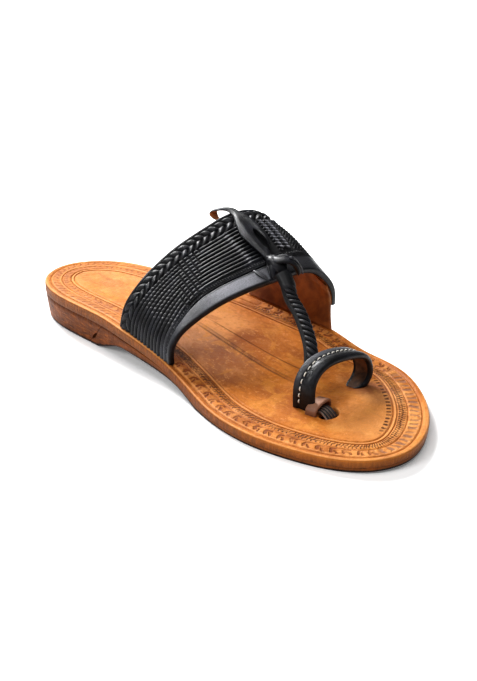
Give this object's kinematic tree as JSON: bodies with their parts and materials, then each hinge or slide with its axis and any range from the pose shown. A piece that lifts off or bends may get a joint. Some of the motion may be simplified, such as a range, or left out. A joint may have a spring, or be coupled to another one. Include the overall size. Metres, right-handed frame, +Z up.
{
  "type": "toe ring sandal",
  "caption": "Right-foot leather toe ring sandal: woven instep band, knotted strap with an eye, braided cord, toe loop and a flat sole on a low stacked heel.",
  "frame": {"origin": "on the floor, under the middle of the sandal's bounding box", "axes": "-Y towards the toe, +X towards the big-toe (medial) side, +Z up"},
  "size_m": [0.1176, 0.27, 0.075],
  "materials": {
    "tan_leather": "waxed vegetable-tanned leather, satin",
    "burnished_leather": "burnished leather edge, satin",
    "black_leather": "polished black leather, satin to glossy"
  },
  "bodies": {
    "root": {"insole": "tan_leather", "heel": "burnished_leather", "outsole": "burnished_leather", "band": "black_leather", "medial_ear": "tan_leather", "eye_strap": "black_leather", "knot": "black_leather", "toe_cord": "black_leather", "toe_ring": "black_leather", "toe_bridge": "tan_leather", "braid_ends": "black_leather"}
  },
  "joints": []
}
